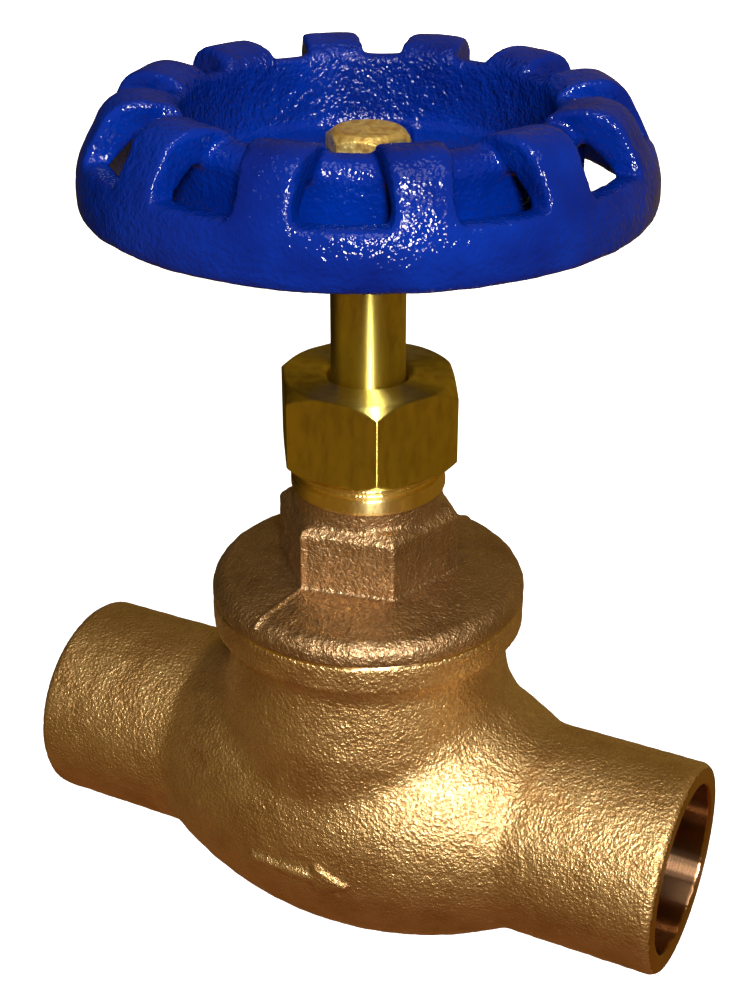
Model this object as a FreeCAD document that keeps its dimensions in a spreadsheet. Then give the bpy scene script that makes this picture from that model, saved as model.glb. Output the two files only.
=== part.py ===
import FreeCAD, Part
import Sketcher
import math
import os

os.makedirs("parts", exist_ok=True)
doc = FreeCAD.newDocument("globe_valve")

# Driving sizes in millimetres, turns in degrees.  A name ending in _level is a
# height above the pipe centre line; every other size is a plain length.
DIMENSIONS = [
    ("valve_half_length", 32.5),
    ("pipe_radius", 10.0),
    ("pipe_end_chamfer", 0.35),
    ("socket_radius", 8.0),
    ("socket_depth", 12.7),
    ("waterway_radius", 6.3),
    ("belly_radius", 14.6),
    ("belly_half_length", 17.6),
    ("belly_joint_fillet", 3.0),
    ("chamber_radius", 12.0),
    ("chamber_half_length", 16.5),
    ("neck_radius", 13.6),
    ("neck_fillet", 4.6),
    ("collar_radius", 14.5),
    ("collar_taper_level", 16.9),
    ("collar_groove_radius", 14.1),
    ("collar_groove_level", 18.6),
    ("collar_bottom_level", 19.0),
    ("collar_top_level", 21.8),
    ("collar_edge", 0.3),
    ("roof_radius", 9.9),
    ("roof_level", 12.8),
    ("seat_deck_level", 0.6),
    ("seat_deck_thickness", 2.0),
    ("seat_deck_near_edge", 8.0),
    ("seat_deck_far_edge", 9.8),
    ("partition_near_reach", 12.5),
    ("partition_far_reach", 14.8),
    ("partition_rise", 13.5),
    ("seat_port_radius", 6.0),
    ("seat_lip_radius", 7.6),
    ("seat_level", 1.6),
    ("spigot_radius", 10.95),
    ("spigot_bore_clearance", 0.1),
    ("spigot_pitch", 1.5),
    ("spigot_thread_depth", 0.8),
    ("spigot_bottom_level", 13.6),
    ("gasket_radius", 12.8),
    ("gasket_thickness", 0.6),
    ("flange_radius", 14.5),
    ("flange_edge_level", 22.5),
    ("flange_rim_radius", 12.8),
    ("flange_rim_level", 24.0),
    ("flange_rim_round", 1.7),
    ("flange_crown_radius", 9.0),
    ("flange_crown_level", 24.8),
    ("bonnet_hex_width", 14.8),
    ("bonnet_hex_top_level", 31.0),
    ("bonnet_hex_chamfer", 0.8),
    ("bonnet_neck_radius", 6.8),
    ("bonnet_turn", 11.8),
    ("upper_thread_radius", 7.0),
    ("upper_thread_pitch", 1.0),
    ("upper_thread_depth", 0.55),
    ("upper_thread_level", 32.6),
    ("bonnet_top_level", 40.2),
    ("stuffing_box_radius", 5.3),
    ("stuffing_box_level", 31.5),
    ("stem_guide_level", 29.4),
    ("nest_radius", 8.1),
    ("nest_top_level", 17.9),
    ("running_clearance", 0.05),
    ("stuffing_washer_thickness", 0.65),
    ("packing_ring_height", 1.9),
    ("gland_sleeve_level", 37.9),
    ("gland_flange_radius", 6.3),
    ("gland_flange_level", 40.35),
    ("gland_top_level", 41.15),
    ("nut_width", 15.0),
    ("nut_turn", 1.8),
    ("nut_bottom_level", 35.5),
    ("nut_bottom_chamfer", 0.8),
    ("nut_roof_level", 41.2),
    ("nut_top_level", 43.4),
    ("nut_top_radius", 7.5),
    ("nut_top_chamfer", 1.1),
    ("nut_hole_radius", 3.7),
    ("stem_radius", 3.3),
    ("stem_thread_radius", 4.2),
    ("stem_thread_pitch", 1.8),
    ("stem_thread_depth", 0.8),
    ("stem_thread_bottom_level", 17.4),
    ("stem_thread_top_level", 28.8),
    ("stem_neck_radius", 3.2),
    ("stem_button_radius", 4.8),
    ("stem_button_height", 1.4),
    ("stem_bottom_level", 10.7),
    ("stem_shoulder_level", 57.6),
    ("stem_square_width", 4.4),
    ("stem_top_level", 63.1),
    ("holder_radius", 7.6),
    ("holder_rim_level", 7.8),
    ("holder_floor_level", 9.0),
    ("holder_cup_level", 10.6),
    ("holder_cup_radius", 5.9),
    ("holder_top_level", 15.4),
    ("holder_stud_radius", 1.6),
    ("holder_stud_level", 4.2),
    ("seat_disc_radius", 6.9),
    ("seat_disc_level", 6.6),
    ("disc_washer_radius", 3.7),
    ("disc_washer_thickness", 0.6),
    ("disc_nut_width", 5.5),
    ("disc_nut_height", 1.6),
    ("holder_nut_bore", 4.3),
    ("holder_nut_width", 11.4),
    ("holder_nut_bottom_level", 12.3),
    ("holder_nut_top_level", 16.8),
    ("wheel_turn", 22.3),
    ("wheel_lip_level", 59.3),
    ("wheel_skirt_radius", 24.0),
    ("wheel_skirt_thickness", 2.1),
    ("wheel_skirt_level", 63.9),
    ("wheel_shoulder_radius", 22.1),
    ("wheel_shoulder_level", 66.3),
    ("wheel_crown_radius", 20.0),
    ("wheel_crown_inner_radius", 17.5),
    ("wheel_top_level", 68.5),
    ("wheel_hollow_top_level", 66.0),
    ("wheel_hollow_crown_radius", 18.9),
    ("wheel_hollow_foot_level", 63.3),
    ("wheel_wall_inner_radius", 15.4),
    ("wheel_wall_outer_radius", 17.7),
    ("wheel_wall_top_level", 67.4),
    ("wheel_wall_bottom_level", 59.0),
    ("wheel_bar_width", 4.5),
    ("wheel_bar_count", 12),
    ("wheel_slot_fillet", 1.1),
    ("wheel_valley_fillet", 1.6),
    ("wheel_hub_radius", 4.8),
    ("wheel_hub_bottom_level", 57.6),
    ("wheel_hub_top_level", 63.3),
    ("wheel_hub_edge", 0.4),
    ("wheel_spoke_width", 5.6),
    ("wheel_spoke_count", 4),
    ("wheel_web_bottom_level", 59.6),
    ("wheel_web_top_level", 61.4),
    ("screw_head_width", 6.4),
    ("screw_head_top_level", 65.05),
    ("screw_head_chamfer", 0.7),
    ("screw_face_inset", 0.4),
    ("screw_turn", 11.8),
    ("screw_shank_radius", 1.5),
    ("screw_length", 5.0),
    ("arrow_half_length", 5.2),
    ("arrow_head_length", 3.4),
    ("arrow_shaft_width", 1.0),
    ("arrow_head_width", 3.4),
    ("arrow_relief", 0.45),
    ("arrow_tilt", 7.0),
]
ALIASES = {alias for alias, value in DIMENSIONS}


def fill_sheet():
    sheet = doc.addObject("Spreadsheet::Sheet", "Dims")
    for row, (alias, value) in enumerate(DIMENSIONS, start=1):
        sheet.set(f"A{row}", alias)
        sheet.set(f"B{row}", str(value))
        sheet.setAlias(f"B{row}", alias)
    doc.recompute()
    return sheet


def full(expression):
    """Put the sheet's name in front of every alias in a short expression."""
    words = []
    for word in expression.split():
        words.append("Dims." + word if word in ALIASES else word)
    return " ".join(words)


def number(expression):
    value = sheet.evalExpression(full(expression))
    return float(getattr(value, "Value", value))


def new_body(name):
    body = doc.addObject("PartDesign::Body", name)
    body.Label = name
    return body


def origin_plane(body, role):
    for feature in body.Origin.OriginFeatures:
        if feature.Role == role:
            return feature
    raise ValueError("no origin plane " + role)


def nearest_end(sketch, edge, spot):
    """Number of the end (1 or 2) of a sketch edge that sits at this spot."""
    first = sketch.getPoint(edge, 1).distanceToPoint(spot)
    second = sketch.getPoint(edge, 2).distanceToPoint(spot)
    return 1 if first <= second else 2


def arc_middle(start, end, radius, side):
    """Middle of an arc; side is +1 when it bulges to the left going start to end."""
    chord = end.sub(start)
    half = chord.Length / 2
    sagitta = radius - math.sqrt(radius * radius - half * half)
    outward = FreeCAD.Vector(-chord.y, chord.x, 0).normalize()
    return start + chord * 0.5 + outward * (side * sagitta)


def draw_edges(sketch, corners, spots):
    """Draw the closed outline and return the arcs with their radius expressions."""
    arcs = []
    for index, corner in enumerate(corners):
        start = spots[index]
        end = spots[(index + 1) % len(spots)]
        if len(corner) == 2:
            sketch.addGeometry(Part.LineSegment(start, end), False)
            continue
        middle = arc_middle(start, end, number(corner[2]), corner[3])
        sketch.addGeometry(Part.Arc(start, middle, end), False)
        arcs.append((index, corner[2]))
    return arcs


def pin(sketch, kind, expression, *where):
    """Add one sketch dimension and bind it to the sheet."""
    index = sketch.addConstraint(Sketcher.Constraint(kind, *where, number(expression)))
    sketch.setExpression(f"Constraints[{index}]", full(expression))


def profile(body, role, name, corners):
    """Closed sketch on one of the body's own planes.

    A corner is (across, up) for a straight edge leaving it, or
    (across, up, radius, side) for an arc leaving it.
    """
    sketch = body.newObject("Sketcher::SketchObject", name)
    sketch.AttachmentSupport = [(origin_plane(body, role), "")]
    sketch.MapMode = "FlatFace"
    spots = [FreeCAD.Vector(number(c[0]), number(c[1]), 0) for c in corners]
    arcs = draw_edges(sketch, corners, spots)
    for index, spot in enumerate(spots):
        before = (index - 1) % len(spots)
        end = nearest_end(sketch, before, spot)
        start = nearest_end(sketch, index, spot)
        sketch.addConstraint(Sketcher.Constraint("Coincident", before, end, index, start))
    for index, corner in enumerate(corners):
        start = nearest_end(sketch, index, spots[index])
        pin(sketch, "DistanceX", corner[0], -1, 1, index, start)
        pin(sketch, "DistanceY", corner[1], -1, 1, index, start)
    for index, radius in arcs:
        pin(sketch, "Radius", radius, index)
    return sketch


def add_ring_edge(sketch, radius):
    """Circle round the sketch origin, added to what is already drawn."""
    circle = Part.Circle(FreeCAD.Vector(0, 0, 0), FreeCAD.Vector(0, 0, 1), number(radius))
    index = sketch.addGeometry(circle, False)
    sketch.addConstraint(Sketcher.Constraint("Coincident", index, 3, -1, 1))
    pin(sketch, "Radius", radius, index)


def regular_corners(width, sides):
    """Corners of a regular polygon of this width across flats, a corner on +X."""
    corners = []
    for step in range(sides):
        reach = f"( {width} ) / 2 / cos({180 / sides})"
        corners.append((f"{reach} * cos({360 / sides * step})",
                        f"{reach} * sin({360 / sides * step})"))
    return corners


def finish_feature(body, feature):
    body.Tip = feature
    doc.recompute()
    return feature


def turned(body, name, corners, axis="V_Axis", kind="PartDesign::Revolution"):
    """Turn a profile drawn in the XZ plane about a sketch axis, adding or cutting."""
    sketch = profile(body, "XZ_Plane", name + "_profile", corners)
    feature = body.newObject(kind, name)
    feature.Profile = sketch
    feature.ReferenceAxis = (sketch, [axis])
    feature.Angle = 360
    return finish_feature(body, feature)


def padded(body, name, sketch, length, bottom="0", both_ways=False):
    sketch.setExpression(".AttachmentOffset.Base.z", full(bottom))
    feature = body.newObject("PartDesign::Pad", name)
    feature.Profile = sketch
    feature.setExpression("Length", full(length))
    feature.Midplane = both_ways
    return finish_feature(body, feature)


def pocketed_up(body, name, sketch, bottom, height):
    """Cut upward from a height on the XY plane."""
    sketch.setExpression(".AttachmentOffset.Base.z", full(bottom))
    feature = body.newObject("PartDesign::Pocket", name)
    feature.Profile = sketch
    feature.setExpression("Length", full(height))
    feature.Reversed = True
    return finish_feature(body, feature)


def trimmed(body, name, width, sides, bottom, height, outside):
    """Cut flats on a turned blank between two heights."""
    corners = regular_corners(width, sides)
    sketch = profile(body, "XY_Plane", name + "_profile", corners)
    add_ring_edge(sketch, outside)
    return pocketed_up(body, name, sketch, bottom, height)


def threaded(body, name, radius, depth, pitch, bottom, height):
    """Cut a helical groove with flat crests and roots into an outside surface."""
    middle = f"{bottom}"
    corners = [
        (f"{radius} + 0.2", f"{middle} - {pitch} * 0.45"),
        (f"{radius} + 0.2", f"{middle} + {pitch} * 0.45"),
        (f"{radius} - {depth}", f"{middle} + {pitch} * 0.06"),
        (f"{radius} - {depth}", f"{middle} - {pitch} * 0.06"),
    ]
    sketch = profile(body, "XZ_Plane", name + "_profile", corners)
    feature = body.newObject("PartDesign::SubtractiveHelix", name)
    feature.Profile = sketch
    feature.ReferenceAxis = (sketch, ["V_Axis"])
    feature.Mode = "pitch-height-angle"
    feature.setExpression("Pitch", full(pitch))
    feature.setExpression("Height", full(height))
    feature.LeftHanded = False
    return finish_feature(body, feature)


def ring_pattern(body, name, features, count):
    pattern = body.newObject("PartDesign::PolarPattern", name)
    pattern.Originals = features
    pattern.Axis = (features[0].Profile[0], ["N_Axis"])
    pattern.Angle = 360
    pattern.setExpression("Occurrences", full(count))
    return finish_feature(body, pattern)


def rounded(body, name, base, edge_names, radius):
    fillet = body.newObject("PartDesign::Fillet", name)
    fillet.Base = (base, edge_names)
    fillet.setExpression("Radius", full(radius))
    return finish_feature(body, fillet)


def edges_where(feature, test):
    """Names of the edges of a feature that pass a test."""
    names = []
    for index, edge in enumerate(feature.Shape.Edges, start=1):
        if test(edge):
            names.append(f"Edge{index}")
    return names


def boolean(kind, name, base, tool):
    result = doc.addObject(kind, name)
    result.Label = name
    result.Base = base
    result.Tool = tool
    doc.recompute()
    return result


def stand(node, turn="0"):
    """Move a part out to the stem axis: the origin is the inlet socket's mouth."""
    node.setExpression(".Placement.Base.x", full("valve_half_length"))
    node.setExpression(".Placement.Rotation.Angle", full(turn))
    doc.recompute()
    return node


def arc_radius(half_length, crown, foot):
    """Radius of the arc that spans two feet and just reaches a crown."""
    rise = f"( {crown} - {foot} )"
    return f"( {half_length} ^ 2 + {rise} ^ 2 ) / 2 / {rise}"


def belly_corners(extra):
    """Outside of the run: two pipe ends and a bulged belly, grown by extra."""
    bulge = arc_radius("belly_half_length", "belly_radius", "pipe_radius")
    return [
        ("0 - valve_half_length", "0"),
        ("valve_half_length", "0"),
        ("valve_half_length", "pipe_radius - pipe_end_chamfer"),
        ("valve_half_length - pipe_end_chamfer", f"pipe_radius + {extra}"),
        ("belly_half_length", f"pipe_radius + {extra}", bulge, -1),
        ("0 - belly_half_length", f"pipe_radius + {extra}"),
        ("pipe_end_chamfer - valve_half_length", f"pipe_radius + {extra}"),
        ("0 - valve_half_length", "pipe_radius - pipe_end_chamfer"),
    ]


def is_belly_joint(edge):
    centre = edge.BoundBox.Center
    on_joint = abs(abs(centre.x) - number("belly_half_length")) < 0.01
    return on_joint and edge.BoundBox.XLength < 0.01


def is_neck_joint(edge):
    return edge.Curve.TypeId == "Part::GeomBSplineCurve"


def build_casting():
    """Outside of the body casting: run, belly, neck and collar."""
    body = new_body("body_casting")
    turned(body, "run", belly_corners("0"), axis="H_Axis")
    neck = turned(body, "neck", [
        ("0", "0"),
        ("neck_radius", "0"),
        ("neck_radius", "collar_taper_level"),
        ("collar_groove_radius", "collar_groove_level - 0.4"),
        ("collar_groove_radius", "collar_groove_level"),
        ("collar_radius", "collar_bottom_level"),
        ("collar_radius", "collar_top_level - collar_edge"),
        ("collar_radius - collar_edge", "collar_top_level"),
        ("0", "collar_top_level"),
    ])
    joints = edges_where(neck, is_belly_joint)
    smooth = rounded(body, "belly_fillet", neck, joints, "belly_joint_fillet")
    rounded(body, "neck_fillet", smooth, edges_where(smooth, is_neck_joint), "neck_fillet")
    return body


def build_cavity():
    """Everything that is hollow in the body before the partition is left in."""
    body = new_body("body_cavity")
    bulge = arc_radius("chamber_half_length", "chamber_radius", "waterway_radius")
    end = "( valve_half_length + 1 )"
    step = "( valve_half_length - socket_depth )"
    turned(body, "waterway", [
        (f"0 - {end}", "0"),
        (end, "0"),
        (end, "socket_radius"),
        (step, "socket_radius"),
        (step, "waterway_radius"),
        ("chamber_half_length", "waterway_radius", bulge, -1),
        ("0 - chamber_half_length", "waterway_radius"),
        (f"0 - {step}", "waterway_radius"),
        (f"0 - {step}", "socket_radius"),
        (f"0 - {end}", "socket_radius"),
    ], axis="H_Axis")
    turned(body, "neck_bore", [
        ("0", "roof_level - roof_radius"),
        ("roof_radius", "roof_level - roof_radius"),
        ("roof_radius", "roof_level"),
        ("spigot_radius + spigot_bore_clearance", "roof_level"),
        ("spigot_radius + spigot_bore_clearance", "collar_top_level - gasket_thickness"),
        ("gasket_radius + running_clearance", "collar_top_level - gasket_thickness"),
        ("gasket_radius + running_clearance", "collar_top_level + 1"),
        ("0", "collar_top_level + 1"),
    ])
    return body


def build_partition():
    """S-shaped wall that carries the seat and parts the two chambers."""
    body = new_body("body_partition")
    low = "( seat_deck_level - seat_deck_thickness )"
    sketch = profile(body, "XZ_Plane", "partition_profile", [
        ("0 - seat_deck_far_edge", low),
        ("seat_deck_near_edge", low),
        ("partition_near_reach", "0 - partition_rise"),
        ("partition_far_reach", "0 - partition_rise"),
        ("seat_deck_far_edge", "seat_deck_level"),
        ("0 - seat_deck_near_edge", "seat_deck_level"),
        ("0 - partition_near_reach", "partition_rise"),
        ("0 - partition_far_reach", "partition_rise"),
    ])
    padded(body, "partition", sketch, "belly_radius * 2", both_ways=True)
    turned(body, "seat_lip", [
        ("0", "0"),
        ("seat_lip_radius", "0"),
        ("seat_lip_radius", "seat_level - 0.3"),
        ("seat_lip_radius - 0.5", "seat_level"),
        ("0", "seat_level"),
    ])
    return body


def build_flow_arrow():
    """Plain raised arrow on the belly, pointing along the flow."""
    skin = new_body("arrow_skin")
    turned(skin, "skin", belly_corners("arrow_relief"), axis="H_Axis")
    stamp = new_body("arrow_stamp")
    neck = "( arrow_half_length - arrow_head_length )"
    sketch = profile(stamp, "XY_Plane", "arrow_profile", [
        ("0 - arrow_half_length", "0 - arrow_shaft_width / 2"),
        (neck, "0 - arrow_shaft_width / 2"),
        (neck, "0 - arrow_head_width / 2"),
        ("arrow_half_length", "0"),
        (neck, "arrow_head_width / 2"),
        (neck, "arrow_shaft_width / 2"),
        ("0 - arrow_half_length", "arrow_shaft_width / 2"),
    ])
    padded(stamp, "arrow", sketch, "belly_radius", bottom="chamber_radius + 0.8")
    stamp.Placement.Rotation = FreeCAD.Rotation(FreeCAD.Vector(1, 0, 0), 90)
    stamp.setExpression(".Placement.Rotation.Angle", full("90 + arrow_tilt"))
    doc.recompute()
    return boolean("Part::Common", "flow_arrow", skin, stamp)


def build_valve_body():
    hollow = boolean("Part::Cut", "body_hollow", build_cavity(), build_partition())
    shell = boolean("Part::Cut", "body_shell", build_casting(), hollow)
    port = doc.addObject("Part::Cylinder", "seat_port")
    port.setExpression("Radius", full("seat_port_radius"))
    port.setExpression("Height", full("seat_level + seat_deck_thickness + 1"))
    port.setExpression(".Placement.Base.z", full("0 - seat_deck_thickness - 0.5"))
    doc.recompute()
    ported = boolean("Part::Cut", "body_ported", shell, port)
    valve_body = doc.addObject("Part::MultiFuse", "valve_body")
    valve_body.Label = "valve_body"
    valve_body.Shapes = [ported, build_flow_arrow()]
    return stand(valve_body)


def is_hex_top(edge):
    """Straight level edges round the top of the bonnet's hexagon."""
    box = edge.BoundBox
    at_top = abs(box.Center.z - number("bonnet_hex_top_level")) < 0.01
    return at_top and box.ZLength < 0.01 and edge.Curve.TypeId == "Part::GeomLine"


def build_bonnet_outside(body):
    """Spigot and flange, cast hexagon with sloped top edges, and threaded barrel."""
    turned(body, "spigot_and_flange", [
        ("0", "spigot_bottom_level"),
        ("spigot_radius - 0.6", "spigot_bottom_level"),
        ("spigot_radius", "spigot_bottom_level + 0.6"),
        ("spigot_radius", "collar_top_level"),
        ("flange_radius", "collar_top_level"),
        ("flange_radius", "flange_edge_level", "flange_rim_round", -1),
        ("flange_rim_radius", "flange_rim_level"),
        ("flange_crown_radius", "flange_crown_level"),
        ("0", "flange_crown_level"),
    ])
    sketch = profile(body, "XY_Plane", "hex_profile", regular_corners("bonnet_hex_width", 6))
    block = padded(body, "hexagon", sketch, "bonnet_hex_top_level - collar_top_level",
                   bottom="collar_top_level")
    chamfer = body.newObject("PartDesign::Chamfer", "hexagon_chamfer")
    chamfer.Base = (block, edges_where(block, is_hex_top))
    chamfer.setExpression("Size", full("bonnet_hex_chamfer"))
    finish_feature(body, chamfer)
    turned(body, "barrel", [
        ("0", "flange_edge_level"),
        ("bonnet_neck_radius", "flange_edge_level"),
        ("bonnet_neck_radius", "upper_thread_level"),
        ("upper_thread_radius", "upper_thread_level + 0.15"),
        ("upper_thread_radius", "bonnet_top_level - 0.4"),
        ("upper_thread_radius - 0.4", "bonnet_top_level"),
        ("0", "bonnet_top_level"),
    ])


def build_bonnet():
    body = new_body("bonnet")
    build_bonnet_outside(body)
    turned(body, "bonnet_bore", [
        ("0", "spigot_bottom_level - 1"),
        ("nest_radius", "spigot_bottom_level - 1"),
        ("nest_radius", "nest_top_level"),
        ("stem_thread_radius + running_clearance", "nest_top_level"),
        ("stem_thread_radius + running_clearance", "stem_guide_level"),
        ("stem_radius + running_clearance", "stem_guide_level"),
        ("stem_radius + running_clearance", "stuffing_box_level"),
        ("stuffing_box_radius", "stuffing_box_level"),
        ("stuffing_box_radius", "bonnet_top_level + 1"),
        ("0", "bonnet_top_level + 1"),
    ], kind="PartDesign::Groove")
    threaded(body, "upper_thread", "upper_thread_radius", "upper_thread_depth",
             "upper_thread_pitch", "upper_thread_level + upper_thread_pitch",
             "bonnet_top_level - upper_thread_level")
    threaded(body, "spigot_thread", "spigot_radius", "spigot_thread_depth", "spigot_pitch",
             "spigot_bottom_level - spigot_pitch",
             "collar_top_level - spigot_bottom_level - spigot_pitch")
    return stand(body, "bonnet_turn")


def build_ring(name, inner, outer, bottom, top):
    body = new_body(name)
    turned(body, name + "_ring", [
        (inner, bottom),
        (outer, bottom),
        (outer, top),
        (inner, top),
    ])
    return stand(body)


def build_packing():
    washer_top = "( stuffing_box_level + stuffing_washer_thickness )"
    inner = "stem_radius + running_clearance"
    outer = "stuffing_box_radius - running_clearance"
    nodes = [build_ring("stuffing_box_washer", inner, outer, "stuffing_box_level", washer_top)]
    for step, place in enumerate(("lower", "middle", "upper")):
        bottom = f"{washer_top} + packing_ring_height * {step}"
        top = f"{washer_top} + packing_ring_height * {step + 1}"
        nodes.append(build_ring("packing_ring_" + place, inner, outer, bottom, top))
    return nodes


def build_gland():
    body = new_body("packing_gland")
    inner = "stem_radius + running_clearance"
    sleeve = "stuffing_box_radius - running_clearance"
    turned(body, "gland", [
        (inner, "gland_sleeve_level"),
        (sleeve, "gland_sleeve_level"),
        (sleeve, "gland_flange_level"),
        ("gland_flange_radius", "gland_flange_level"),
        ("gland_flange_radius", "gland_top_level"),
        (inner, "gland_top_level"),
    ])
    return stand(body)


def build_packing_nut():
    body = new_body("packing_nut")
    corner = "nut_width / 2 / cos(30)"
    bore = "upper_thread_radius + running_clearance"
    turned(body, "nut_blank", [
        (bore, "nut_bottom_level"),
        (f"{corner} - nut_bottom_chamfer", "nut_bottom_level"),
        (corner, "nut_bottom_level + nut_bottom_chamfer"),
        (corner, "nut_top_level - nut_top_chamfer"),
        ("nut_top_radius", "nut_top_level"),
        ("nut_hole_radius + 0.3", "nut_top_level"),
        ("nut_hole_radius", "nut_top_level - 0.3"),
        ("nut_hole_radius", "nut_roof_level"),
        (bore, "nut_roof_level"),
    ])
    trimmed(body, "nut_hex", "nut_width", 6, "nut_bottom_level",
            "nut_top_level - nut_bottom_level", "nut_width")
    return stand(body, "nut_turn")


def build_stem():
    body = new_body("stem")
    button_top = "stem_bottom_level + stem_button_height"
    square_corner = "stem_square_width / 2 / cos(45)"
    turned(body, "stem_blank", [
        ("0", "stem_bottom_level"),
        ("stem_button_radius - 0.3", "stem_bottom_level"),
        ("stem_button_radius", "stem_bottom_level + 0.3"),
        ("stem_button_radius", button_top),
        ("stem_neck_radius", button_top),
        ("stem_neck_radius", "stem_thread_bottom_level"),
        ("stem_thread_radius", "stem_thread_bottom_level + 0.6"),
        ("stem_thread_radius", "stem_thread_top_level - 0.9"),
        ("stem_radius", "stem_thread_top_level"),
        ("stem_radius", "stem_shoulder_level"),
        (square_corner, "stem_shoulder_level"),
        (square_corner, "stem_top_level"),
        ("screw_shank_radius + running_clearance", "stem_top_level"),
        ("screw_shank_radius + running_clearance", "stem_top_level - screw_length - 0.4"),
        ("0", "stem_top_level - screw_length - 0.8"),
    ])
    trimmed(body, "stem_square", "stem_square_width", 4, "stem_shoulder_level",
            "stem_top_level - stem_shoulder_level", "stem_button_radius")
    threaded(body, "stem_thread", "stem_thread_radius", "stem_thread_depth",
             "stem_thread_pitch", "stem_thread_bottom_level",
             "stem_thread_top_level - stem_thread_bottom_level - stem_thread_pitch")
    return stand(body, "wheel_turn")


def build_disc_holder():
    body = new_body("disc_holder")
    turned(body, "holder", [
        ("0", "holder_stud_level"),
        ("holder_stud_radius - 0.3", "holder_stud_level"),
        ("holder_stud_radius", "holder_stud_level + 0.3"),
        ("holder_stud_radius", "holder_floor_level"),
        ("seat_disc_radius + running_clearance", "holder_floor_level"),
        ("seat_disc_radius + running_clearance", "holder_rim_level"),
        ("holder_radius", "holder_rim_level"),
        ("holder_radius", "holder_top_level - 0.5"),
        ("holder_radius - 0.5", "holder_top_level"),
        ("holder_cup_radius", "holder_top_level"),
        ("holder_cup_radius", "holder_cup_level"),
        ("0", "holder_cup_level"),
    ])
    return stand(body)


def build_holder_nut():
    body = new_body("disc_holder_nut")
    sleeve = "holder_cup_radius - running_clearance"
    corner = "holder_nut_width / 2 / cos(30)"
    shoulder = "( holder_top_level + running_clearance )"
    turned(body, "holder_nut_blank", [
        ("holder_nut_bore", "holder_nut_bottom_level"),
        (sleeve, "holder_nut_bottom_level"),
        (sleeve, shoulder),
        (corner, shoulder),
        (corner, "holder_nut_top_level - 0.3"),
        (f"{corner} - 0.4", "holder_nut_top_level"),
        ("holder_nut_bore", "holder_nut_top_level"),
    ])
    trimmed(body, "holder_nut_hex", "holder_nut_width", 6, shoulder,
            f"holder_nut_top_level - {shoulder}", "holder_nut_width")
    return stand(body)


def build_disc_nut():
    body = new_body("disc_nut")
    corner = "disc_nut_width / 2 / cos(30)"
    top = "( seat_disc_level - disc_washer_thickness )"
    bore = "holder_stud_radius + running_clearance"
    turned(body, "disc_nut_blank", [
        (bore, f"{top} - disc_nut_height"),
        (f"{corner} - 0.3", f"{top} - disc_nut_height"),
        (corner, f"{top} - disc_nut_height + 0.2"),
        (corner, top),
        (bore, top),
    ])
    trimmed(body, "disc_nut_hex", "disc_nut_width", 6, f"{top} - disc_nut_height",
            "disc_nut_height", "disc_nut_width")
    return stand(body)


def build_seat_disc_parts():
    bore = "holder_stud_radius + running_clearance"
    disc = build_ring("seat_disc", bore, "seat_disc_radius", "seat_disc_level",
                      "holder_floor_level")
    washer = build_ring("disc_washer", bore, "disc_washer_radius",
                        "seat_disc_level - disc_washer_thickness", "seat_disc_level")
    return [disc, washer]


def slot_corners(inner, outer):
    """Plan of one rim slot on +X whose sides run parallel to the bars beside it."""
    half = "wheel_bar_width / 2"
    turn = "( 180 / wheel_bar_count )"
    near = (f"{inner} * cos( {turn} ) + {half} * sin( {turn} )",
            f"{inner} * sin( {turn} ) - {half} * cos( {turn} )")
    far = (f"{outer} * cos( {turn} ) + {half} * sin( {turn} )",
           f"{outer} * sin( {turn} ) - {half} * cos( {turn} )")
    return [
        (near[0], f"0 - ( {near[1]} )"),
        (far[0], f"0 - ( {far[1]} )"),
        far,
        near,
    ]


def window_corners(inner, outer):
    """Plan of the opening between two spokes that run along +X and +Y."""
    half = "( wheel_spoke_width / 2 )"
    near = f"sqrt( ( {inner} ) ^ 2 - {half} ^ 2 )"
    far = f"sqrt( ( {outer} ) ^ 2 - {half} ^ 2 )"
    return [
        (near, half),
        (far, half, outer, -1),
        (half, far),
        (half, near, inner, 1),
    ]


def is_slot_corner(edge):
    """Straight level edges at the foot of the rim slots."""
    if edge.Curve.TypeId != "Part::GeomLine":
        return False
    box = edge.BoundBox
    at_foot = abs(box.Center.z - number("wheel_skirt_level")) < 0.01
    far_out = math.hypot(box.Center.x, box.Center.y) > number("wheel_wall_outer_radius")
    return at_foot and far_out and box.ZLength < 0.01


def is_valley_edge(edge):
    """Straight level edges between the valley floors and the rim slots."""
    if edge.Curve.TypeId != "Part::GeomLine":
        return False
    box = edge.BoundBox
    at_floor = abs(box.Center.z - number("wheel_wall_top_level")) < 0.01
    reach = math.hypot(box.Center.x, box.Center.y)
    at_slot = abs(reach - number("wheel_wall_outer_radius")) < 0.3
    return at_floor and at_slot and box.ZLength < 0.01


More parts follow.
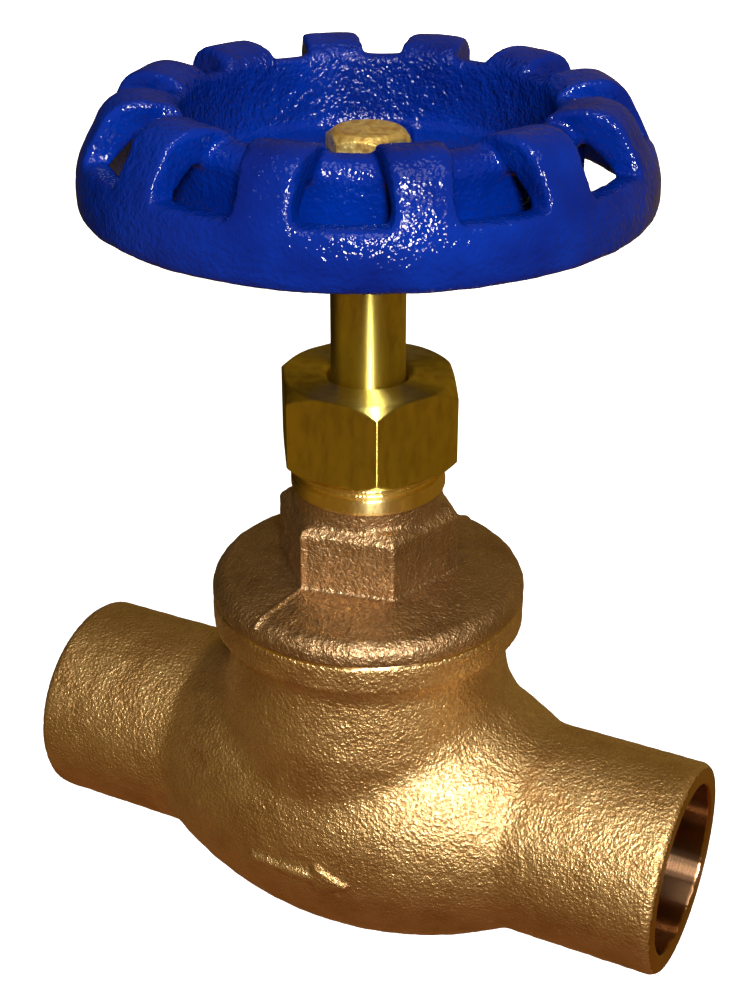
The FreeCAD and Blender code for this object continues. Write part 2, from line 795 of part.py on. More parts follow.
def wheel_section():
    """Half section of hub, web, inner wall and hollow rim as one blank."""
    skirt_inner = "( wheel_skirt_radius - wheel_skirt_thickness )"
    return [
        ("0", "wheel_hub_bottom_level"),
        ("wheel_hub_radius - wheel_hub_edge", "wheel_hub_bottom_level"),
        ("wheel_hub_radius", "wheel_hub_bottom_level + wheel_hub_edge"),
        ("wheel_hub_radius", "wheel_web_bottom_level"),
        ("wheel_wall_inner_radius", "wheel_web_bottom_level"),
        ("wheel_wall_inner_radius", "wheel_wall_bottom_level"),
        ("wheel_wall_outer_radius", "wheel_wall_bottom_level"),
        ("wheel_wall_outer_radius", "wheel_hollow_top_level - 0.6"),
        ("wheel_wall_outer_radius + 0.6", "wheel_hollow_top_level"),
        ("wheel_hollow_crown_radius", "wheel_hollow_top_level"),
        (skirt_inner, "wheel_hollow_foot_level"),
        (skirt_inner, "wheel_lip_level"),
        ("wheel_skirt_radius - 0.4", "wheel_lip_level"),
        ("wheel_skirt_radius", "wheel_lip_level + 0.4"),
        ("wheel_skirt_radius", "wheel_lip_level + 2.2", "9.5", -1),
        ("wheel_shoulder_radius", "wheel_shoulder_level", "3.4", -1),
        ("wheel_crown_radius", "wheel_top_level", "4.0", -1),
        ("wheel_crown_inner_radius", "wheel_top_level", "2.6", -1),
        ("wheel_wall_inner_radius", "wheel_wall_top_level"),
        ("wheel_wall_inner_radius", "wheel_web_top_level"),
        ("wheel_hub_radius", "wheel_web_top_level"),
        ("wheel_hub_radius", "wheel_hub_top_level - 0.1"),
        ("wheel_hub_radius - wheel_hub_edge", "wheel_hub_top_level"),
        ("0", "wheel_hub_top_level"),
    ]


def build_handwheel():
    body = new_body("handwheel")
    turned(body, "wheel_blank", wheel_section())
    window = profile(body, "XY_Plane", "window_profile",
                     window_corners("wheel_hub_radius + 0.5", "wheel_wall_inner_radius - 0.4"))
    opening = pocketed_up(body, "web_window", window, "wheel_lip_level",
                          "wheel_hub_top_level - wheel_lip_level")
    ring_pattern(body, "web_windows", [opening], "wheel_spoke_count")
    deep = profile(body, "XY_Plane", "slot_profile",
                   slot_corners("( wheel_wall_outer_radius + 0.15 )",
                                "( wheel_skirt_radius + 4 )"))
    slot = pocketed_up(body, "rim_slot", deep, "wheel_skirt_level", "8")
    ring_pattern(body, "rim_slots", [slot], "wheel_bar_count")
    shallow = profile(body, "XY_Plane", "valley_profile",
                      slot_corners("( wheel_wall_inner_radius - 2 )",
                                   "( wheel_wall_outer_radius + 1 )"))
    valley = pocketed_up(body, "rim_valley", shallow, "wheel_wall_top_level", "6")
    valleys = ring_pattern(body, "rim_valleys", [valley], "wheel_bar_count")
    corners = edges_where(valleys, is_slot_corner)
    slots = rounded(body, "slot_fillets", valleys, corners, "wheel_slot_fillet")
    rounded(body, "valley_fillets", slots, edges_where(slots, is_valley_edge),
            "wheel_valley_fillet")
    square = profile(body, "XY_Plane", "drive_square_profile",
                     regular_corners("stem_square_width + running_clearance * 2", 4))
    pocketed_up(body, "drive_square", square, "wheel_hub_bottom_level - 1",
                "wheel_hub_top_level - wheel_hub_bottom_level + 2")
    return stand(body, "wheel_turn")


def build_wheel_screw():
    body = new_body("wheel_screw")
    corner = "screw_head_width / 2 / cos(30)"
    tip = "( stem_top_level - screw_length )"
    turned(body, "screw_blank", [
        ("0", tip),
        ("screw_shank_radius - 0.3", tip),
        ("screw_shank_radius", f"{tip} + 0.3"),
        ("screw_shank_radius", "wheel_hub_top_level"),
        (corner, "wheel_hub_top_level"),
        (corner, "screw_head_top_level - screw_head_chamfer"),
        ("screw_head_width / 2 - screw_face_inset", "screw_head_top_level"),
        ("0", "screw_head_top_level"),
    ])
    trimmed(body, "screw_hex", "screw_head_width", 6, "wheel_hub_top_level",
            "screw_head_top_level - wheel_hub_top_level", "screw_head_width")
    return stand(body, "screw_turn")


def build_gasket():
    return build_ring("bonnet_gasket", "spigot_radius + spigot_bore_clearance",
                      "gasket_radius", "collar_top_level - gasket_thickness",
                      "collar_top_level")


def check_document():
    """Stop if any object failed to build."""
    for thing in doc.Objects:
        if "Invalid" in thing.State or "Error" in thing.State:
            raise RuntimeError(f"{thing.Name} did not build: {thing.State}")


def write_parts(nodes):
    for node in nodes:
        shape = node.Shape
        if shape.isNull() or not shape.isValid():
            raise RuntimeError(node.Label + " has no valid shape")
        shape.exportStep("parts/" + node.Label + ".step")


sheet = fill_sheet()
nodes = [build_valve_body(), build_bonnet(), build_gasket()]
nodes += build_packing()
nodes += [build_gland(), build_packing_nut(), build_stem()]
nodes += [build_disc_holder(), build_holder_nut(), build_disc_nut()]
nodes += build_seat_disc_parts()
nodes += [build_handwheel(), build_wheel_screw()]
doc.recompute()
check_document()
write_parts(nodes)
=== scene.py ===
import math

import bmesh
import bpy
import numpy as np
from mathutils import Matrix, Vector
from mathutils.bvhtree import BVHTree
from mathutils.noise import noise as gradient_noise


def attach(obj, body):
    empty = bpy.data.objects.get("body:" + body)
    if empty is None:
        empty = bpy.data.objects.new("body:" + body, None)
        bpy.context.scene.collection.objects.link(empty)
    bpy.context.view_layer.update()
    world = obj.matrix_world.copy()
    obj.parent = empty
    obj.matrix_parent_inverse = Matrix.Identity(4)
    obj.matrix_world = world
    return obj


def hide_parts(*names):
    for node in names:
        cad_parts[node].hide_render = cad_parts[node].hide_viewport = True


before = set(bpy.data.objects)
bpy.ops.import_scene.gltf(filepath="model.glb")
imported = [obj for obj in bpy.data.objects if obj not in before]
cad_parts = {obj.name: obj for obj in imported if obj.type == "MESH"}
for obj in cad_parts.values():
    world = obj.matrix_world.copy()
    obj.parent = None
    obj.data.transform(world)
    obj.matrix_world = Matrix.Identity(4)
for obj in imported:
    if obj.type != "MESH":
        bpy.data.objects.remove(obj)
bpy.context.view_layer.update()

MM = 0.001

# Places on the valve in millimetres, measured as the CAD frame measures them:
# X along the pipe from the inlet's mouth, Z up from the pipe's centre line.
STEM_X = 32.5
PIPE_HALF = 32.5
SOCKET_RADIUS = 8.0
SOCKET_FLOOR = 19.0
SEAT_RADIUS = 7.8
SEAT_HALF_HEIGHT = 2.2
NECK_BORE_RADIUS = 13.1
NECK_BORE_FOOT = 13.0
NECK_OUTER_LIMIT = 16.5
NECK_FOOT = 11.0
NECK_FADE = 7.0
COLLAR_TOP = 21.8
COLLAR_FOOT = 18.95
BONNET_CAST_TOP = 32.55
BONNET_BORE_RADIUS = 6.0
RIDGE_START = 8.0
RIDGE_END = 14.3

# The handwheel: its bars stand between the slots of the rim.
WHEEL_TURN = math.radians(22.3)
BAR_COUNT = 12
BAR_HALF_WIDTH = 2.25
BAR_TOP = 67.0
SLOT_FOOT = 62.6
SLOT_INNER_RADIUS = 15.6
BASIN_RADIUS = 16.6
BASIN_FLOOR = 61.8
SQUARE_HOLE_RADIUS = 3.6

# How much the foundry and the lathe left on the surfaces, in millimetres.
BODY_VOXEL = 0.25
BONNET_VOXEL = 0.16
WHEEL_VOXEL = 0.25
NUT_VOXEL = 0.13
SCREW_VOXEL = 0.1
COLLAR_STEP = 0.9
COLLAR_STEP_HEIGHT = 0.25
RIDGE_HEIGHT = 0.2
RIDGE_HALF_WIDTH = 0.22
RIDGE_TURN = math.radians(-107.5)
BAR_DRAFT = 0.62
ENAMEL_THICKNESS = 0.08
SCREW_DENTS = 0.02

FLOOR_LEVEL = -14.62
FLOOR_HALF = 3000.0
CAMERA_AZIMUTH = math.radians(26.837)
CAMERA_ELEVATION = math.radians(27.34)
CAMERA_SPOT = (95.47, -124.213, 102.658)
CAMERA_LENS = 61.82
CAMERA_SENSOR = 36


# ------------------------------------------------------------------ meshes

def vertex_array(mesh):
    """Vertices in millimetres, one row each."""
    flat = np.empty(len(mesh.vertices) * 3)
    mesh.vertices.foreach_get("co", flat)
    return flat.reshape(-1, 3) / MM


def edge_array(mesh):
    flat = np.empty(len(mesh.edges) * 2, dtype=np.int64)
    mesh.edges.foreach_get("vertices", flat)
    return flat.reshape(-1, 2)


def normal_array(mesh):
    flat = np.empty(len(mesh.vertices) * 3)
    mesh.vertices.foreach_get("normal", flat)
    return flat.reshape(-1, 3)


def set_vertices(mesh, points):
    mesh.vertices.foreach_set("co", (points * MM).ravel())
    mesh.update()


def push_out(mesh, points, rise):
    """Move each point along its normal by this many millimetres."""
    set_vertices(mesh, points)
    set_vertices(mesh, points + normal_array(mesh) * rise(points)[:, None])


def remeshed_copy(name, node, voxel):
    """Even quad mesh of a CAD node, ready to be worn and grained."""
    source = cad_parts[node]
    piece = bpy.data.objects.new(name, source.data.copy())
    bpy.context.scene.collection.objects.link(piece)
    weld = piece.modifiers.new("weld", "WELD")
    weld.merge_threshold = 0.002 * MM
    remesh = piece.modifiers.new("remesh", "REMESH")
    remesh.mode = "VOXEL"
    remesh.voxel_size = voxel * MM
    graph = bpy.context.evaluated_depsgraph_get()
    made = bpy.data.meshes.new_from_object(piece.evaluated_get(graph))
    rough = piece.data
    piece.modifiers.clear()
    piece.data = made
    bpy.data.meshes.remove(rough)
    made.name = name
    made.materials.clear()
    return piece


def relaxed(points, edges, weight, rounds):
    """Move each vertex part of the way to the middle of its neighbours."""
    count = len(points)
    first, second = edges[:, 0], edges[:, 1]
    degree = np.bincount(edges.ravel(), minlength=count)[:, None]
    points = points.copy()
    for _ in range(rounds):
        middle = np.empty_like(points)
        for axis in range(3):
            column = points[:, axis]
            middle[:, axis] = np.bincount(first, column[second], count)
            middle[:, axis] += np.bincount(second, column[first], count)
        points += (middle / degree - points) * weight[:, None]
    return points


def on_cad_surface(points, node):
    """Put the points of a remeshed copy back on the surface of its CAD node."""
    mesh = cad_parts[node].data
    corners = [Vector(p) for p in vertex_array(mesh)]
    faces = [tuple(polygon.vertices) for polygon in mesh.polygons]
    surface = BVHTree.FromPolygons(corners, faces)
    points = points.copy()
    for index, point in enumerate(points):
        place = surface.find_nearest(Vector(point))[0]
        if place is not None:
            points[index] = place
    return points


def grain(points, size, seed):
    """Smooth noise between about -1 and 1 with lumps of this size in millimetres."""
    shift = Vector((seed * 17.3, seed * 5.1, seed * 9.7))
    return np.array([gradient_noise(Vector(p) / size + shift) for p in points])


def stem_radius(points):
    return np.hypot(points[:, 0] - STEM_X, points[:, 1])


def pipe_radius(points):
    return np.hypot(points[:, 1], points[:, 2])


def smooth_faces(piece):
    mesh = piece.data
    mesh.polygons.foreach_set("use_smooth", [True] * len(mesh.polygons))
    mesh.update()


def declare(piece, node, body):
    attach(piece, body)
    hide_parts(node)


def give_material(piece, *materials):
    piece.data.materials.clear()
    for material in materials:
        piece.data.materials.append(material)


def paint(piece, vertex_mask, index):
    """Use the piece's material of this index where all corners are in the mask."""
    for polygon in piece.data.polygons:
        if all(vertex_mask[v] for v in polygon.vertices):
            polygon.material_index = index


# --------------------------------------------------------------- materials

def new_material(name, color, rough, metal):
    material = bpy.data.materials.new(name)
    material.use_nodes = True
    shader = material.node_tree.nodes["Principled BSDF"]
    shader.inputs["Base Color"].default_value = (*color, 1)
    shader.inputs["Roughness"].default_value = rough
    shader.inputs["Metallic"].default_value = metal
    return material, material.node_tree, shader


def object_coords(tree):
    return tree.nodes.new("ShaderNodeTexCoord").outputs["Object"]


def noise_node(tree, size, detail=2.0, rough=0.5, squash=None):
    """Noise whose lumps are about this many millimetres across."""
    node = tree.nodes.new("ShaderNodeTexNoise")
    node.inputs["Scale"].default_value = 1 / (size * MM)
    node.inputs["Detail"].default_value = detail
    node.inputs["Roughness"].default_value = rough
    coords = object_coords(tree)
    if squash:
        stretch = tree.nodes.new("ShaderNodeVectorMath")
        stretch.operation = "MULTIPLY"
        stretch.inputs[1].default_value = squash
        tree.links.new(coords, stretch.inputs[0])
        coords = stretch.outputs[0]
    tree.links.new(coords, node.inputs["Vector"])
    return node.outputs["Fac"]


def ramp(tree, value, low, high, start=0.0, end=1.0):
    """Low where the value is at start, high where it is at end, straight between."""
    node = tree.nodes.new("ShaderNodeMapRange")
    node.inputs["From Min"].default_value = start
    node.inputs["From Max"].default_value = end
    node.inputs["To Min"].default_value = low
    node.inputs["To Max"].default_value = high
    tree.links.new(value, node.inputs["Value"])
    return node.outputs["Result"]


def blend_color(tree, factor, low, high):
    """Mix two colours; each is a tuple or another node's output."""
    node = tree.nodes.new("ShaderNodeMix")
    node.data_type = "RGBA"
    for socket, color in ((node.inputs[6], low), (node.inputs[7], high)):
        if isinstance(color, tuple):
            socket.default_value = (*color, 1)
        else:
            tree.links.new(color, socket)
    tree.links.new(factor, node.inputs[0])
    return node.outputs[2]


def add_bump(tree, shader, layers):
    """Stack bump layers; each is (height value, depth in millimetres)."""
    last = None
    for height, depth in layers:
        bump = tree.nodes.new("ShaderNodeBump")
        bump.inputs["Distance"].default_value = depth * MM
        tree.links.new(height, bump.inputs["Height"])
        if last is not None:
            tree.links.new(last, bump.inputs["Normal"])
        last = bump.outputs["Normal"]
    tree.links.new(last, shader.inputs["Normal"])
    return last


def edge_value(tree):
    """Above a half on outward edges, below it in hollows."""
    return tree.nodes.new("ShaderNodeNewGeometry").outputs["Pointiness"]


def cast_metal(name, light, dark, rough_low, rough_high, hollow_shade):
    """Sand-cast metal: sharp grain and dull stained pits, with painted shade darkening the hollows
    and convex edges made lighter, partly as rubbed wear and partly as a painted highlight.
    """
    material, tree, shader = new_material(name, light, rough_low, 1.0)
    sand = noise_node(tree, 0.32, detail=2.0, rough=0.55)
    fine = noise_node(tree, 0.15, detail=1.0)
    patches = noise_node(tree, 5.0, detail=4.0, rough=0.65)
    pits = ramp(tree, sand, 0.25, 1.0, 0.38, 0.6)
    stained = blend_color(tree, ramp(tree, patches, 0.0, 0.6, 0.42, 0.68), light, dark)
    color = blend_color(tree, pits, dark, stained)
    # Convex edges lighter: partly rubbed wear, partly a painted highlight along the edge lines.
    wear_and_painted_highlight = ramp(tree, edge_value(tree), 0.0, 0.45, 0.52, 0.6)
    color = blend_color(tree, wear_and_painted_highlight, color, tuple(min(1.0, 1.2 * c) for c in light))
    # Painted shade: hollows and the feet of steps are darkened where shade falls.
    hollow = ramp(tree, edge_value(tree), hollow_shade, 0.0, 0.45, 0.495)
    color = blend_color(tree, hollow, color, tuple(0.35 * c for c in dark))
    tree.links.new(color, shader.inputs["Base Color"])
    tree.links.new(ramp(tree, sand, rough_high, rough_low, 0.35, 0.65),
                   shader.inputs["Roughness"])
    shader.inputs["Coat Weight"].default_value = 0.5
    shader.inputs["Coat Roughness"].default_value = 0.35
    normal = add_bump(tree, shader, [(sand, 0.16), (fine, 0.03)])
    tree.links.new(normal, shader.inputs["Coat Normal"])
    return material


def smear_shine(shader, tree, tangent, amount):
    """Stretch the shine across the tool marks, whose direction is the tangent."""
    tree.links.new(tangent, shader.inputs["Tangent"])
    shader.inputs["Anisotropic"].default_value = amount
    shader.inputs["Anisotropic Rotation"].default_value = 0.25


def turned_metal(name, color, rough, spread, ring_size, stain):
    """Brass off the lathe: fine rings round the stem axis that smear the shine upright."""
    material, tree, shader = new_material(name, color, rough, 1.0)
    rings = noise_node(tree, ring_size, detail=2.0, squash=(0.01, 0.01, 1.0))
    cloud = noise_node(tree, 0.9, detail=4.0, rough=0.6, squash=(1.0, 1.0, 0.35))
    tree.links.new(blend_color(tree, ramp(tree, cloud, 0.0, 0.55, 0.45, 0.75), color, stain),
                   shader.inputs["Base Color"])
    tree.links.new(ramp(tree, cloud, rough * 0.85, rough * 1.3, 0.3, 0.7),
                   shader.inputs["Roughness"])
    around = tree.nodes.new("ShaderNodeTangent")
    around.direction_type = "RADIAL"
    around.axis = "Z"
    smear_shine(shader, tree, around.outputs["Tangent"], spread)
    add_bump(tree, shader, [(rings, 0.008)])
    return material


def bored_metal(name, color, rough):
    """Brass bored along the pipe axis: fine rings across the run."""
    material, tree, shader = new_material(name, color, rough, 1.0)
    rings = noise_node(tree, 0.22, detail=2.0, squash=(1.0, 0.01, 0.01))
    around = tree.nodes.new("ShaderNodeVectorMath")
    around.operation = "CROSS_PRODUCT"
    around.inputs[0].default_value = (1, 0, 0)
    tree.links.new(object_coords(tree), around.inputs[1])
    smear_shine(shader, tree, around.outputs[0], 0.9)
    add_bump(tree, shader, [(rings, 0.012)])
    return material


def worn_brass(name, bright, dull):
    """Screw head: brass dulled by handling, with small dents."""
    material, tree, shader = new_material(name, bright, 0.3, 0.8)
    dents = noise_node(tree, 0.5, detail=2.0)
    stains = noise_node(tree, 0.9, detail=3.0)
    tree.links.new(blend_color(tree, ramp(tree, stains, 0.0, 1.0, 0.45, 0.62), bright, dull),
                   shader.inputs["Base Color"])
    tree.links.new(ramp(tree, dents, 0.5, 0.28, 0.4, 0.6), shader.inputs["Roughness"])
    add_bump(tree, shader, [(dents, 0.07)])
    return material


def enamel(name, thin, thick, lump_depth, peel_depth):
    """Glossy paint over a sand casting, in two shades where it ran thin and thick."""
    material, tree, shader = new_material(name, thin, 0.35, 0.0)
    lumps = noise_node(tree, 0.7, detail=1.5, rough=0.5)
    peel = noise_node(tree, 0.34, detail=1.0, rough=0.5)
    patches = noise_node(tree, 6.0, detail=2.0)
    tree.links.new(blend_color(tree, ramp(tree, patches, 0.0, 1.0, 0.35, 0.7), thin, thick),
                   shader.inputs["Base Color"])
    shader.inputs["Specular IOR Level"].default_value = 0.0
    shader.inputs["Coat Weight"].default_value = 0.65
    shader.inputs["Coat Roughness"].default_value = 0.04
    shader.inputs["Coat IOR"].default_value = 1.5
    normal = add_bump(tree, shader, [(lumps, lump_depth), (peel, peel_depth)])
    tree.links.new(normal, shader.inputs["Coat Normal"])
    return material


def plain(name, color, rough, lump):
    """Non-metal with a fine matt surface."""
    material, tree, shader = new_material(name, color, rough, 0.0)
    fibres = noise_node(tree, lump, detail=3.0)
    darker = tuple(0.6 * c for c in color)
    tree.links.new(blend_color(tree, fibres, darker, color), shader.inputs["Base Color"])
    add_bump(tree, shader, [(fibres, 0.02)])
    return material


GOLDEN_CAST = ((0.84, 0.60, 0.28), (0.44, 0.23, 0.065))
REDDISH_CAST = ((0.58, 0.38, 0.19), (0.26, 0.135, 0.05))
COBALT = ((0.0003, 0.020, 0.25), (0.0003, 0.010, 0.15))

# The last number of each cast metal sets how dark its painted shade in the hollows is.
BODY_BRONZE = cast_metal("body_bronze", *GOLDEN_CAST, 0.36, 0.54, 0.85)
BONNET_BRONZE = cast_metal("bonnet_bronze", *REDDISH_CAST, 0.38, 0.58, 0.3)
BRASS = turned_metal("polished_brass", (0.92, 0.78, 0.20), 0.38, 1.0, 0.16, (0.66, 0.46, 0.08))
THREAD_BRASS = turned_metal("threaded_brass", (1.0, 0.80, 0.34), 0.30, 0.9, 0.25, (0.8, 0.5, 0.14))
BORED = bored_metal("bored_bronze", (0.48, 0.27, 0.14), 0.21)
FACED = turned_metal("faced_bronze", (0.86, 0.62, 0.32), 0.30, 0.9, 0.16, (0.6, 0.38, 0.14))
WORN_BRASS = worn_brass("worn_brass", (1.0, 0.74, 0.24), (0.78, 0.48, 0.12))
ENAMEL = enamel("blue_enamel", *COBALT, 0.14, 0.10)
ROUGH_ENAMEL = enamel("blue_enamel_on_rough_casting", *COBALT, 0.28, 0.20)
PACKING = plain("packing_fibre", (0.05, 0.05, 0.05), 0.7, 0.3)
GASKET = plain("gasket_fibre", (0.30, 0.10, 0.06), 0.8, 0.3)
DISC = plain("disc_polymer", (0.80, 0.79, 0.75), 0.45, 0.5)


# ------------------------------------------------------------------ pieces

def make_body():
    """Cast body with its bores, faces and seat kept as sharp as CAD has them."""
    piece = remeshed_copy("valve_body_cast", "valve_body", BODY_VOXEL)
    mesh = piece.data
    points = vertex_array(mesh)
    around_stem = stem_radius(points)
    along = np.abs(points[:, 0] - STEM_X)
    height = points[:, 2]
    bored = (along > SOCKET_FLOOR) & (pipe_radius(points) < SOCKET_RADIUS + 0.5)
    faced = along > PIPE_HALF - 0.12
    neck_bore = (around_stem < NECK_BORE_RADIUS) & (height > NECK_BORE_FOOT)
    seat = (around_stem < SEAT_RADIUS) & (np.abs(height) < SEAT_HALF_HEIGHT)
    collar_face = height > COLLAR_TOP - 0.15
    machined = bored | faced | neck_bore | seat | collar_face
    collar = (height > COLLAR_FOOT - 1.2) & (around_stem > NECK_BORE_RADIUS)
    weight = np.where(machined, 0.0, np.where(collar, 0.12, 0.4))
    points = on_cad_surface(points, "valve_body")
    points = relaxed(points, edge_array(mesh), weight, 6)
    points = relaxed(points, edge_array(mesh), np.full(len(points), 0.2), 1)
    under_collar = np.clip((COLLAR_FOOT - height) / COLLAR_STEP_HEIGHT, 0, 1)
    under_collar *= np.clip((height - NECK_FOOT) / NECK_FADE, 0, 1)

    def rise(points):
        lumps = 0.045 * grain(points, 1.3, 1) + 0.028 * grain(points, 0.6, 2)
        step = COLLAR_STEP * under_collar * (around_stem < NECK_OUTER_LIMIT)
        return (lumps - step) * np.where(machined, 0.0, 1.0)

    push_out(mesh, points, rise)
    smooth_faces(piece)
    give_material(piece, BODY_BRONZE, BORED, FACED)
    paint(piece, machined, 1)
    paint(piece, height > COLLAR_TOP - 0.35, 2)
    declare(piece, "valve_body", "valve")


def parting_ridge(points):
    """Height of the flash line that runs out across the bonnet flange."""
    east, north = points[:, 0] - STEM_X, points[:, 1]
    ahead = east * math.cos(RIDGE_TURN) + north * math.sin(RIDGE_TURN)
    aside = north * math.cos(RIDGE_TURN) - east * math.sin(RIDGE_TURN)
    ridge = RIDGE_HEIGHT * np.exp(-(aside / RIDGE_HALF_WIDTH) ** 2)
    return ridge * ((np.abs(ahead) > RIDGE_START) & (np.abs(ahead) < RIDGE_END))


def make_bonnet():
    """Cast bonnet whose threads and bore stay as CAD has them."""
    piece = remeshed_copy("bonnet_cast", "bonnet", BONNET_VOXEL)
    mesh = piece.data
    points = vertex_array(mesh)
    height = points[:, 2]
    cast = (height > COLLAR_TOP + 0.1) & (height < BONNET_CAST_TOP)
    cast &= stem_radius(points) > BONNET_BORE_RADIUS
    points = on_cad_surface(points, "bonnet")
    points = relaxed(points, edge_array(mesh), np.where(cast, 0.45, 0.0), 9)
    points = relaxed(points, edge_array(mesh), np.full(len(points), 0.25), 1)

    def rise(points):
        lumps = 0.06 * grain(points, 1.2, 3) + 0.035 * grain(points, 0.55, 4)
        return (lumps + parting_ridge(points)) * np.where(cast, 1.0, 0.0)

    push_out(mesh, points, rise)
    smooth_faces(piece)
    give_material(piece, BONNET_BRONZE, THREAD_BRASS)
    paint(piece, ~cast, 1)
    declare(piece, "bonnet", "valve")


def drafted(points):
    """Let the rim bars spread towards their feet, as a pattern needs to leave the sand."""
    away = points - np.array([STEM_X, 0, 0])
    around = np.arctan2(away[:, 1], away[:, 0]) - WHEEL_TURN
    pitch = 2 * math.pi / BAR_COUNT
    off_bar = (around + pitch / 2) % pitch - pitch / 2
    reach = np.hypot(away[:, 0], away[:, 1])
    aside = reach * np.sin(off_bar)
    near_flank = np.exp(-((np.abs(aside) - BAR_HALF_WIDTH) / 1.1) ** 2)
    spread = np.clip((BAR_TOP - away[:, 2]) / 3.0, -0.5, 1.0) * BAR_DRAFT
    spread *= np.clip((away[:, 2] - SLOT_FOOT) / 1.2, 0.0, 1.0) * (reach > SLOT_INNER_RADIUS)
    turn = np.sign(aside) * near_flank * spread / reach
    turned = np.stack([away[:, 0] * np.cos(turn) - away[:, 1] * np.sin(turn),
                       away[:, 0] * np.sin(turn) + away[:, 1] * np.cos(turn),
                       away[:, 2]], axis=1)
    return turned + np.array([STEM_X, 0, 0])


def make_handwheel():
    """Cast wheel under thick enamel, whose square hole stays bare and true."""
    piece = remeshed_copy("handwheel_enamelled", "handwheel", WHEEL_VOXEL)
    mesh = piece.data
    points = vertex_array(mesh)
    around_stem = stem_radius(points)
    square_hole = around_stem < SQUARE_HOLE_RADIUS
    points = drafted(points)
    points = relaxed(points, edge_array(mesh), np.where(square_hole, 0.0, 0.5), 8)

    def rise(points):
        lumps = 0.05 * grain(points, 1.8, 5) + 0.02 * grain(points, 0.7, 6)
        return (ENAMEL_THICKNESS + lumps) * np.where(square_hole, 0.0, 1.0)

    push_out(mesh, points, rise)
    smooth_faces(piece)
    give_material(piece, ENAMEL, ROUGH_ENAMEL)
    paint(piece, (around_stem < BASIN_RADIUS) & (points[:, 2] > BASIN_FLOOR), 1)
    declare(piece, "handwheel", "wheel")


def make_turned(name, node, body, voxel, dents, material):
    """Turned part with its edges just broken, and dents this deep on its top."""
    piece = remeshed_copy(name, node, voxel)
    mesh = piece.data
    points = on_cad_surface(vertex_array(mesh), node)
    points = relaxed(points, edge_array(mesh), np.full(len(points), 0.5), 2)
    top = points[:, 2] > points[:, 2].max() - 0.25

    def rise(points):
        return dents * (grain(points, 0.9, 7) + 0.6 * grain(points, 0.4, 8)) * top

    push_out(mesh, points, rise)
    smooth_faces(piece)
    give_material(piece, material)
    declare(piece, node, body)


make_body()
make_bonnet()
make_handwheel()
make_turned("packing_nut_turned", "packing_nut", "valve", NUT_VOXEL, 0.0, BRASS)
make_turned("wheel_screw_turned", "wheel_screw", "wheel", SCREW_VOXEL, SCREW_DENTS, WORN_BRASS)

CAD_LOOKS = {
    "packing_ring_lower": PACKING,
    "packing_ring_middle": PACKING,
    "packing_ring_upper": PACKING,
    "bonnet_gasket": GASKET,
    "seat_disc": DISC,
}
for node_name, node_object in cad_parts.items():
    give_material(node_object, CAD_LOOKS.get(node_name, BRASS))


# ------------------------------------------------------------------- stage

def make_floor():
    """Pale floor that lights nothing and shows in no reflection."""
    mesh = bpy.data.meshes.new("floor")
    floor = bpy.data.objects.new("floor", mesh)
    shape = bmesh.new()
    for x, y in ((-1, -1), (1, -1), (1, 1), (-1, 1)):
        shape.verts.new(Vector((x * FLOOR_HALF, y * FLOOR_HALF, FLOOR_LEVEL)) * MM)
    shape.faces.new(shape.verts)
    shape.to_mesh(mesh)
    shape.free()
    bpy.context.scene.collection.objects.link(floor)
    material, tree, shader = new_material("pale_floor", (0.9, 0.9, 0.9), 0.8, 0.0)
    shader.inputs["Emission Color"].default_value = (1, 1, 1, 1)
    shader.inputs["Emission Strength"].default_value = 0.95
    mesh.materials.append(material)
    floor.visible_glossy = False
    floor.visible_diffuse = False


def direction(azimuth, elevation):
    """Unit vector; azimuth is measured from -Y towards +X, both in radians."""
    level = math.cos(elevation)
    return Vector((math.sin(azimuth) * level, -math.cos(azimuth) * level, math.sin(elevation)))


def area_light(name, azimuth, elevation, distance, power, color):
    """Light that looks at the middle of the valve from a distance in metres."""
    aim = Vector((STEM_X, 0, 25)) * MM
    away = direction(math.radians(azimuth), math.radians(elevation))
    data = bpy.data.lights.new(name, "AREA")
    data.energy = power
    data.color = color
    light = bpy.data.objects.new(name, data)
    light.location = aim + away * distance
    light.rotation_euler = away.to_track_quat("Z", "Y").to_euler()
    bpy.context.scene.collection.objects.link(light)
    return light


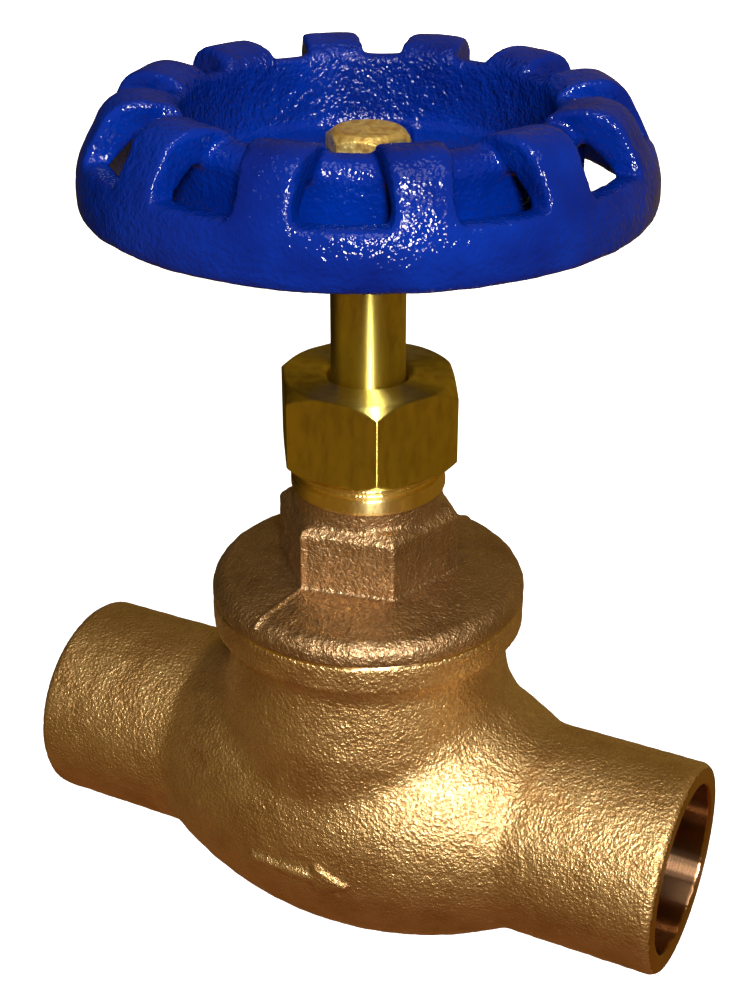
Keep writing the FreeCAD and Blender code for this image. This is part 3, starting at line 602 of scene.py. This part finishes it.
def make_lights():
    """Key and overhead near the camera, and one behind that makes no highlights."""
    key = area_light("key", 33, 30, 0.45, 2.6, (1.0, 0.99, 0.97))
    key.data.shape = "RECTANGLE"
    key.data.size = 0.06
    key.data.size_y = 0.14
    overhead = area_light("overhead", 36, 66, 0.55, 0.6, (1.0, 0.97, 0.92))
    behind = area_light("behind", 205, 14, 0.5, 1.4, (1.0, 0.97, 0.92))
    behind.visible_glossy = False
    for light in (overhead, behind):
        light.data.shape = "DISK"
        light.data.size = 0.3


def make_world():
    """White backdrop for the camera, dim warm surroundings for everything else."""
    world = bpy.data.worlds.new("studio")
    world.use_nodes = True
    tree = world.node_tree
    surroundings = tree.nodes["Background"]
    sky_way = tree.nodes.new("ShaderNodeTexCoord").outputs["Generated"]
    dark_side = tree.nodes.new("ShaderNodeVectorMath")
    dark_side.operation = "DOT_PRODUCT"
    dark_side.inputs[1].default_value = (-0.93, 0.36, 0.0)
    tree.links.new(sky_way, dark_side.inputs[0])
    tree.links.new(ramp(tree, dark_side.outputs["Value"], 1.0, 0.08, 0.6, 0.95),
                   surroundings.inputs["Strength"])
    upward = tree.nodes.new("ShaderNodeSeparateXYZ")
    tree.links.new(sky_way, upward.inputs[0])
    tree.links.new(blend_color(tree, ramp(tree, upward.outputs["Z"], 0.0, 1.0, -0.8, -0.4),
                               (0.17, 0.052, 0.004), (0.19, 0.115, 0.018)),
                   surroundings.inputs["Color"])
    backdrop = tree.nodes.new("ShaderNodeBackground")
    backdrop.inputs["Color"].default_value = (0.99, 0.99, 0.99, 1)
    path = tree.nodes.new("ShaderNodeLightPath")
    mix = tree.nodes.new("ShaderNodeMixShader")
    tree.links.new(path.outputs["Is Camera Ray"], mix.inputs[0])
    tree.links.new(surroundings.outputs[0], mix.inputs[1])
    tree.links.new(backdrop.outputs[0], mix.inputs[2])
    tree.links.new(mix.outputs[0], tree.nodes["World Output"].inputs["Surface"])
    bpy.context.scene.world = world


def make_camera():
    data = bpy.data.cameras.new("camera")
    data.lens = CAMERA_LENS
    data.sensor_width = CAMERA_SENSOR
    camera = bpy.data.objects.new("camera", data)
    camera.location = Vector(CAMERA_SPOT) * MM
    back = direction(CAMERA_AZIMUTH, CAMERA_ELEVATION)
    camera.rotation_euler = (-back).to_track_quat("-Z", "Y").to_euler()
    bpy.context.scene.collection.objects.link(camera)
    bpy.context.scene.camera = camera


make_floor()
make_world()
make_lights()
make_camera()
bpy.context.scene.view_settings.view_transform = "Standard"
